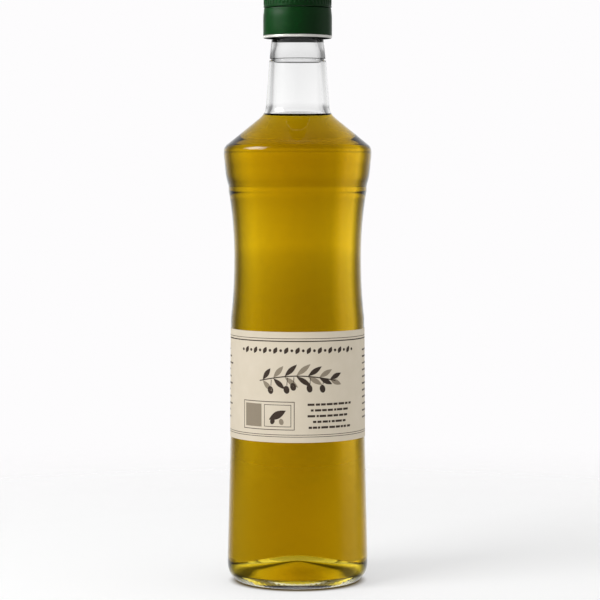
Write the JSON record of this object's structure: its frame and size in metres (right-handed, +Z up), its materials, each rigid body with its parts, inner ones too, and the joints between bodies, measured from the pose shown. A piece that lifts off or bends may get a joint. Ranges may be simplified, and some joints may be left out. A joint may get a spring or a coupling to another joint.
{
  "type": "olive oil bottle",
  "caption": "Waisted clear glass bottle of olive oil with a wrap-around paper label and a knurled green screw cap.",
  "frame": {"origin": "centre of the base, on the surface that the bottle stands on", "axes": "+Z up along the bottle to the cap, -Y towards the front of the label, +X to the right seen from the front"},
  "size_m": [0.068, 0.068, 0.2746],
  "materials": {
    "glass": "clear moulded flint glass, polished",
    "oil": "clear golden liquid",
    "label_paper": "uncoated cream paper with dark brown print",
    "cap_lacquer": "deep bottle-green lacquer on thin aluminium, satin gloss",
    "bare_metal": "bare rolled edge, satin"
  },
  "bodies": {
    "root": {"glass_bottle": "glass", "olive_oil": "oil", "paper_label": "label_paper", "screw_cap": "cap_lacquer", "cap_sleeve": "cap_lacquer", "cap_ring": "bare_metal"}
  },
  "joints": []
}
